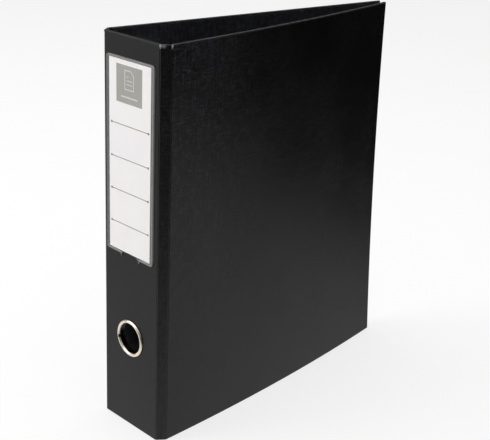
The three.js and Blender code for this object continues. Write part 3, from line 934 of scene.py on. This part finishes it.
carve(ring, box_cutter("seam", RING_X - 13.75, RING_X - 11.5, -1.9, 4.9, RING_Z - 3.6, RING_Z - 1.2))
sharpen(ring, 55)
dress(ring, M["eyelet"], "spine", "nickel", "finger_ring_eyelet")
wash = smooth_curve([(13.5, 2.9), (16.2, 2.9), (16.38, 3.12), (15.9, 3.45), (14.6, 3.58), (13.5, 3.58)], 3)
washer = lathe("finger_ring_washer_shell", [tuple(p) for p in wash], (RING_X, 0, RING_Z), (0, 1, 0), (1, 0, 0), 96)
sharpen(washer, 50)
dress(washer, M["steel"], "spine", "steel", "finger_ring_washer")

# ---------------------------------------------------------------------------------------------
# label pocket and card
# ---------------------------------------------------------------------------------------------
PX0, PX1, PZ0, PZ1 = -28.6, 27.0, 149.0, 304.1


def rounded_rect(x0, x1, z0, z1, r, per=7):
    pts = []
    for cx, cz, a0 in ((x1 - r, z0 + r, -90), (x1 - r, z1 - r, 0), (x0 + r, z1 - r, 90), (x0 + r, z0 + r, 180)):
        for k in range(per + 1):
            a = math.radians(a0 + 90 * k / per)
            pts.append((cx + r * math.cos(a), cz + r * math.sin(a)))
    return pts


def flat_sheet(name, outline, y0, y1):
    m = len(outline)
    A = [(x, y0, z) for x, z in outline]
    B = [(x, y1, z) for x, z in outline]
    faces = [tuple(range(m)), tuple(reversed(range(m, 2 * m)))]
    for i in range(m):
        j = (i + 1) % m
        faces.append((i, j, m + j, m + i))
    uv = [(x, z) for x, z in outline] * 2
    return outward(make_object(name, np.array(A + B, float), faces, uv, smooth=False))


NX0, NX1 = -9.9, 9.3            # the thumb notch's two ends
outline = rounded_rect(PX0 + 0.5, PX1 - 0.5, PZ0 + 0.5, PZ1 - 0.3, 2.0)
# the notch is cut into the bottom run, between the last corner and the first
notch = smooth_curve([(NX0, PZ0 + 0.5), (NX0 + 1.6, PZ0 + 2.0), (NX0 + 4.2, PZ0 + 2.5), (NX1 - 4.2, PZ0 + 2.5),
                      (NX1 - 1.6, PZ0 + 2.0), (NX1, PZ0 + 0.5)], 4)
film = flat_sheet("label_pocket_film", outline + [tuple(p) for p in notch], -1.12, -0.92)
dress(film, M["film"], "spine", "clear_film", "label_pocket")


def bead(name, path, half_w, height, y_base=-0.02):
    """A low welded ridge on the spine along a path of (x, z)."""
    path = np.asarray(path, float)
    tan = np.gradient(path, axis=0)
    tan /= np.linalg.norm(tan, axis=1)[:, None]
    nor = np.stack([-tan[:, 1], tan[:, 0]], -1)
    sect = [(-1.0, 0.0), (-0.97, 0.35), (-0.8, 0.72), (-0.45, 0.95), (0.0, 1.0), (0.45, 0.95), (0.8, 0.72), (0.97, 0.35), (1.0, 0.0)]
    rings = []
    for k, (p, n) in enumerate(zip(path, nor)):
        w = half_w(k / (len(path) - 1), p)
        hh = height
        rings.append([(p[0] + n[0] * a * w, y_base - hh * b, p[1] + n[1] * a * w) for a, b in sect])
    return loft(name, rings)


# the rim runs from one notch tab, round the pocket, to the other; its ends flare down
ring_path = []
r = 2.2
rx0, rx1, rz0, rz1 = PX0 + 0.9, PX1 - 1.25, PZ0 + 1.2, PZ1 - 1.1
ring_path += [(NX1 + 0.75, rz0 - 3.3), (NX1 + 0.9, rz0 - 1.9), (NX1 + 1.4, rz0 - 0.75), (NX1 + 2.6, rz0 - 0.08)]
ring_path += [(rx1 - r - 8, rz0), (rx1 - r - 1, rz0)]
for cx, cz, a0 in ((rx1 - r, rz0 + r, -90), (rx1 - r, rz1 - r, 0), (rx0 + r, rz1 - r, 90), (rx0 + r, rz0 + r, 180)):
    for k in range(7):
        a = math.radians(a0 + 15 * k)
        ring_path.append((cx + r * math.cos(a), cz + r * math.sin(a)))
ring_path += [(rx0 + r + 1, rz0), (rx0 + r + 8, rz0), (NX0 - 2.6, rz0 - 0.08), (NX0 - 1.4, rz0 - 0.75),
              (NX0 - 0.9, rz0 - 1.9), (NX0 - 0.75, rz0 - 3.3)]


def dense(points, step=2.0):
    out = []
    for a, b in zip(points, points[1:]):
        a, b = np.array(a, float), np.array(b, float)
        n = max(1, int(math.ceil(np.linalg.norm(b - a) / step)))
        for k in range(n):
            out.append(a + (b - a) * k / n)
    out.append(np.array(points[-1], float))
    return np.array(out)


def taper(t, p):
    """The weld's half width: broad down the right, narrow along the bottom, and pointed at its two tabs."""
    e = 0.55 + 0.45 * min(1, min(t, 1 - t) * 90)
    ease = lambda x: x * x * (3 - 2 * x)
    to_right = ease(min(1.0, max(0.0, (p[0] - 22.5) / 3.0)))
    to_top = ease(min(1.0, max(0.0, (p[1] - 151.2) / 3.0)))
    side = 0.85 + 0.58 * to_right
    if p[1] > 301.5:
        side += (1.1 - side) * ease(min(1.0, (p[1] - 301.5) / 1.5))
    return e * (0.78 + (side - 0.78) * to_top)


rim = bead("label_pocket_rim", dense(ring_path, 2.0), taper, 0.95)
sharpen(rim, 60)
dress(rim, M["weld"], "spine", "clear_film")
# points for a second, thinner weld line just inside the rim; no mesh is made from them
inner = rounded_rect(-25.6, 24.3, 151.2, 302.6, 1.0, 4)
line = dense(inner + [inner[0]], 4.0)

card = flat_sheet("label_card", rounded_rect(-24.8, 23.4, 151.7, 301.9, 0.35, 3), -0.78, -0.5)
dress(card, M["label"], "label", "label_card", "label_insert")
card.data.materials.append(M["card_back"])
for poly in card.data.polygons:
    poly.material_index = 0 if poly.normal.y < -0.9 else 1

# ---------------------------------------------------------------------------------------------
# ring mechanism
# ---------------------------------------------------------------------------------------------
def arch(u):
    """Height of the case's outer skin over its width."""
    t = min(1.0, abs(u) / 15.0)
    return 5.2 + 3.8 * math.sqrt(max(0.0, 1 - t ** 2.6))


def case_section(shrink=0.0, drop=0.0):
    us = [15 * math.sin(math.radians(a)) for a in range(-90, 91, 9)]
    outer = [(-15.0, 0.05), (-15.0, 2.4)] + [(u, arch(u)) for u in us] + [(15.0, 2.4), (15.0, 0.05)]
    t = 0.95
    inner = []
    for u, h in outer:
        k = 1 - t / 15.0
        inner.append((u * k, h if h < 3 else h - t * (0.35 + 0.65 * (1 - (abs(u) / 15.0) ** 3))))
    return [(u, h - drop) for u, h in outer], inner


zz = [26.0, 26.35, 27.0, 30.0] + [30 + 260 * k / 40 for k in range(1, 40)] + [290.0, 293.0, 293.65, 294.0]
secs = []
for z in zz:
    o, i = case_section()
    pull = 0.0
    if z < 26.6 or z > 293.4:
        pull = 0.25 if z in (26.0, 294.0) else 0.06
    loop = [(u * (1 - pull * 0.01), h - pull * (1 if h > 3 else 0)) for u, h in o] + list(reversed(i))
    secs.append(mech_map([p[0] for p in loop], [max(p[1], 0.02) for p in loop], z + 0 * np.array([p[0] for p in loop])))
case = loft("ring_mechanism_shell", secs)


def mech_cylinder(name, r, h0, h1, u, z, sides=40):
    base = mech_map(u, 0, z)
    ax = mech_map(u, 1, z) - base
    return lathe(name, [(0, h0), (r, h0), (r, h1), (0, h1)], base, ax, (0, 0, 1), sides, closed=False)


def slot_cutter(name, u0, u1, z, half):
    """A rounded slot through the case's top."""
    pts = []
    for k in range(9):
        a = math.radians(-90 + 180 * k / 8)
        pts.append((u1 - half + half * math.cos(a), half * math.sin(a)))
    for k in range(9):
        a = math.radians(90 + 180 * k / 8)
        pts.append((u0 + half + half * math.cos(a), half * math.sin(a)))
    low = mech_map([p[0] for p in pts], [4.9] * len(pts), [z + p[1] for p in pts])
    high = mech_map([p[0] for p in pts], [12.0] * len(pts), [z + p[1] for p in pts])
    return loft(name, [low, high])


cutters = []
for z in RINGS_Z:
    for sgn in (-1, 1):
        a, b = sorted((sgn * 5.1, sgn * 13.3))
        cutters.append(slot_cutter(f"slot_{z}_{sgn}", a, b, float(z), 2.8))
carve(case, *cutters)
soften(case, 0.16, 2, 50)
sharpen(case, 38)
dress(case, M["chrome"], "back_cover", "chrome", "ring_mechanism_case")

# rivets: a domed head on the case and a flared tail outside the cover
for z, node in zip(RIVETS_Z, ("mechanism_rivet_lower", "mechanism_rivet_upper")):
    base = mech_map(0, 0, float(z))
    ax = mech_map(0, 1, float(z)) - base
    tail = -MECH_N
    head = smooth_curve([(4.45, 9.05), (4.4, 9.45), (3.9, 9.95), (2.9, 10.3), (1.5, 10.42), (0.0, 10.45)], 4)
    tl = smooth_curve([(0.0, tail - 0.25), (1.2, tail - 0.32), (1.75, tail - 0.62), (2.6, tail - 0.85), (3.8, tail - 0.85),
                       (4.75, tail - 0.55), (5.0, tail - 0.02)], 4)
    prof = [tuple(p) for p in tl] + [(2.4, tail + 0.02), (2.4, 8.9), (4.45, 9.0)] + [tuple(p) for p in head]
    prof[0] = (0.0, prof[0][1])
    prof[-1] = (0.0, prof[-1][1])
    rv = lathe(node + "_shell", prof, base, ax, (0, 0, 1), 56, closed=False)
    sharpen(rv, 45)
    dress(rv, M["nickel"], "back_cover", "nickel", node)

# rings
for i, z in enumerate(RINGS_Z, 1):
    z = float(z)
    hs = [4.8] + [6 + 36.2 * k / 18 for k in range(19)] + [42.9, 43.5]
    rad = [2.0] * 20 + [1.75, 1.35]
    p = mech_map([9.0] * len(hs), hs, [z] * len(hs))
    post = tube(f"ring_post_{i}_wire", p, rad, 24)
    sharpen(post, 60)
    dress(post, M["chrome"], "post_blade", "chrome", f"ring_post_{i}")
    line = smooth_curve([(5.3, -9), (9.5, -10.1), (18, -15.6), (28, -17.8), (38, -15.4), (46, -8.6), (50, 0.2), (49.4, 5.4),
                         (46.9, 8.4), (44.9, 9.0)], 6)
    p = mech_map(line[:, 1], line[:, 0], z + 0 * line[:, 0])
    n = len(p)
    rad = [2.0] * (n - 2) + [1.8, 1.5]
    bow = tube(f"ring_bow_{i}_wire", p, rad, 24)
    sharpen(bow, 60)
    dress(bow, M["chrome"], "curve_blade", "chrome", f"ring_bow_{i}")


# levers: bent sheet, widened and rolled at the thumb end
def lever(name, z_pin, sgn, node, body):
    path = smooth_curve([(-6.1, -3.0), (-3.6, -3.15), (-1.6, -2.9), (1.2, -2.6), (3.6, -1.6), (6.0, 0.8), (8.4, 3.6),
                         (11.0, 8.0), (13.3, 11.8), (14.2, 13.6), (13.6, 14.3)], 6)
    n = len(path)
    tan = np.gradient(path, axis=0)
    tan /= np.linalg.norm(tan, axis=1)[:, None]
    nor = np.stack([-tan[:, 1], tan[:, 0]], -1)
    secs = []
    for k in range(n):
        t = k / (n - 1)
        w = 5.9 + 2.0 * np.clip((t - 0.55) / 0.25, 0, 1) ** 2 * (3 - 2 * np.clip((t - 0.55) / 0.25, 0, 1))
        if t > 0.93:
            w -= 1.6 * ((t - 0.93) / 0.07) ** 2
        th = 0.55
        sect = [(-w, -th), (-w - 0.0, -th * 0.2), (-w, th * 0.6), (-w + 0.3, th), (w - 0.3, th), (w, th * 0.6), (w, -th * 0.2), (w, -th)]
        out = path[k, 0]
        pts = []
        for a, b in sect:
            o = path[k] + nor[k] * b
            pts.append((a, o[1], z_pin + sgn * o[0]))
        pts = np.array(pts)
        secs.append(mech_map(pts[:, 0], 4.3 + pts[:, 1], pts[:, 2]))
    tab = loft(name + "_tab", secs)
    soften(tab, 0.25, 2, 40)
    sharpen(tab, 40)
    # the curl round the pin
    pts = []
    for k in range(29):
        a = math.radians(-120 + 300 * k / 28)
        pts.append((math.cos(a), math.sin(a)))
    inner_r, outer_r = 1.5, 2.5
    loop = [(outer_r * c, outer_r * s) for c, s in pts] + [(inner_r * c, inner_r * s) for c, s in reversed(pts)]
    secs = []
    for u in (-5.9, -5.6, 5.6, 5.9):
        secs.append(mech_map([u] * len(loop), [4.3 + p[1] for p in loop], [z_pin + sgn * p[0] for p in loop]))
    curl = loft(name + "_curl", secs)
    sharpen(curl, 40)
    dress(tab, M["steel"], body, "steel", node)
    dress(curl, M["steel"], body, "steel")


lever("lever_lower", 30.0, -1, "lever_lower", "lever_lower")
lever("lever_upper", 290.0, 1, "lever_upper", "lever_upper")
for z, node in ((30.0, "lever_pin_lower"), (290.0, "lever_pin_upper")):
    base = mech_map(0, 4.3, z)
    ax = mech_map(1, 4.3, z) - base
    prof = [(0, -15.85), (1.2, -15.85), (1.7, -15.6), (1.9, -15.1), (1.2, -15.05), (1.2, 15.05), (1.9, 15.1), (1.7, 15.6),
            (1.2, 15.85), (0, 15.85)]
    pin = lathe(node + "_shell", prof, base, ax, (0, 0, 1), 32, closed=False)
    sharpen(pin, 45)
    dress(pin, M["steel"], "back_cover", "steel", node)


# blades stay as the frame has them
for node in ("post_blade", "curve_blade"):
    o = frame["nodes"][node]
    o.data.materials.clear()
    o.data.materials.append(M["steel"])

# ---------------------------------------------------------------------------------------------
# floor, light and camera
# ---------------------------------------------------------------------------------------------
FLOOR_GLOW = 0.72


def floor_material():
    n = Nodes("pale_floor")
    p = n.object_mm()
    g = n.noise(p, 0.02, 3.0)
    n.set(**{"Base Color": n.mix(g, (0.265, 0.265, 0.265), (0.275, 0.275, 0.275)), "Roughness": 0.95})
    n.bsdf.inputs["Specular IOR Level"].default_value = 0.0
    n.bsdf.inputs["Emission Color"].default_value = (1.0, 1.0, 1.0, 1.0)
    n.bsdf.inputs["Emission Strength"].default_value = FLOOR_GLOW
    return n.mat


fm = bpy.data.meshes.new("floor")
S = 9.0
fm.from_pydata([(-S, -S, -0.0003), (S, -S, -0.0003), (S, S, -0.0003), (-S, S, -0.0003)], [], [(0, 1, 2, 3)])
floor = bpy.data.objects.new("floor", fm)
bpy.context.scene.collection.objects.link(floor)
fm.materials.append(floor_material())
floor.visible_glossy = False


def build_world():
    """A soft studio: pale dome above, and the sheen of a pale table below that fades out to one side."""
    w = bpy.data.worlds.new("studio")
    bpy.context.scene.world = w
    w.use_nodes = True
    t = w.node_tree
    t.nodes.clear()
    out = t.nodes.new("ShaderNodeOutputWorld")
    bg = t.nodes.new("ShaderNodeBackground")
    t.links.new(bg.outputs[0], out.inputs[0])
    tc = t.nodes.new("ShaderNodeTexCoord")
    sep = t.nodes.new("ShaderNodeSeparateXYZ")
    t.links.new(tc.outputs["Generated"], sep.inputs[0])

    def m(op, a, b=None, c=None, clamp=False):
        n = t.nodes.new("ShaderNodeMath")
        n.operation = op
        n.use_clamp = clamp
        for i, v in enumerate((a, b, c)):
            if v is None:
                continue
            if isinstance(v, bpy.types.NodeSocket):
                t.links.new(v, n.inputs[i])
            else:
                n.inputs[i].default_value = v
        return n.outputs[0]

    def rng(x, a, b, c, d):
        n = t.nodes.new("ShaderNodeMapRange")
        n.interpolation_type = "SMOOTHSTEP"
        for k, v in zip(("Value", "From Min", "From Max", "To Min", "To Max"), (x, a, b, c, d)):
            if isinstance(v, bpy.types.NodeSocket):
                t.links.new(v, n.inputs[k])
            else:
                n.inputs[k].default_value = v
        return n.outputs["Result"]

    x, y, z = sep.outputs
    turn = m("MULTIPLY_ADD", m("ARCTAN2", y, x), 1 / (2 * math.pi), 0.5)

    def around(stops_):
        """A value that changes with the direction's heading; stops are (degrees, value), values within -0.5 to 1."""
        n = t.nodes.new("ShaderNodeValToRGB")
        n.color_ramp.interpolation = "LINEAR"
        e = n.color_ramp.elements
        while len(e) > 1:
            e.remove(e[-1])
        for k, (deg, val) in enumerate(stops_):
            q = e[0] if k == 0 else e.new((deg + 180) / 360)
            q.position = (deg + 180) / 360
            q.color = ((val + 0.5,) * 3) + (1.0,)
        t.links.new(turn, n.inputs[0])
        return m("SUBTRACT", n.outputs[0], 0.5)

    lo, hi, bright = around(TABLE_LO), around(TABLE_HI), around(TABLE_L)
    table = rng(z, lo, hi, 0.012, bright)
    near = rng(z, -0.34, -0.52, 1.0, 1.25)
    table = m("MULTIPLY", table, near)
    dome = rng(z, 0.12, 0.75, 0.0, DOME)
    total = m("ADD", table, dome)
    t.links.new(total, bg.inputs["Strength"])
    bg.inputs["Color"].default_value = (1.0, 0.995, 0.985, 1.0)


# where the table's sheen starts and ends by the height of the direction, and how bright it is, round the headings
TABLE_LO = [(-180, 0.02), (-102, 0.02), (-88, -0.37), (-12, -0.37), (40, -0.21), (66, -0.305), (110, -0.32), (150, 0.0), (180, 0.02)]
TABLE_HI = [(-180, -0.12), (-102, -0.12), (-88, -0.49), (-12, -0.49), (40, -0.34), (66, -0.38), (110, -0.40), (150, -0.15), (180, -0.12)]
TABLE_L = [(-180, 0.48), (-160, 0.78), (-105, 0.78), (-80, 0.56), (-20, 0.54), (40, 0.46), (72, 0.48), (130, 0.48), (180, 0.48)]
DOME = 0.62
build_world()


def area(name, loc, target, size, power, size_y=None, color=(1, 1, 1)):
    light = bpy.data.lights.new(name, "AREA")
    light.energy = power
    light.size = size
    light.color = color
    if size_y:
        light.shape = "RECTANGLE"
        light.size_y = size_y
    o = bpy.data.objects.new(name, light)
    o.location = loc
    o.rotation_mode = "QUATERNION"
    o.rotation_quaternion = (Vector(target) - Vector(loc)).to_track_quat("-Z", "Y")
    bpy.context.scene.collection.objects.link(o)
    return o


area("overhead", (-0.15, -0.15, 1.9), (0, 0, 0.1), 1.8, 17.5)
area("front_left", (-1.15, -1.75, 0.95), (0, -0.05, 0.17), 1.1, 20.5, 1.3)

cam_data = bpy.data.cameras.new("camera")
cam = bpy.data.objects.new("camera", cam_data)
bpy.context.scene.collection.objects.link(cam)
rv = Vector((1.8060974626, 0.7889205880, -0.4855630143))
R = Matrix.Rotation(rv.length, 3, rv.normalized())
pos = -(R.transposed() @ Vector((-95.0158168, 167.5690966, 869.6745635)))
R = Matrix.Rotation(1.0 / 1058.333674, 3, "Y") @ R
right, down, fwd = R[0], R[1], R[2]
mat = Matrix(((right[0], -down[0], -fwd[0]), (right[1], -down[1], -fwd[1]), (right[2], -down[2], -fwd[2])))
cam.rotation_mode = "QUATERNION"
cam.rotation_quaternion = mat.to_quaternion()
cam.location = Vector([pos[i] / 1000 + OFF[i] for i in range(3)])
cam_data.sensor_width = 36.0
cam_data.lens = 1058.333674 * 36.0 / 490.0
cam_data.clip_start, cam_data.clip_end = 0.05, 60.0
cam_data.dof.use_dof = False
bpy.context.scene.camera = cam
bpy.context.scene.view_settings.view_transform = "Standard"
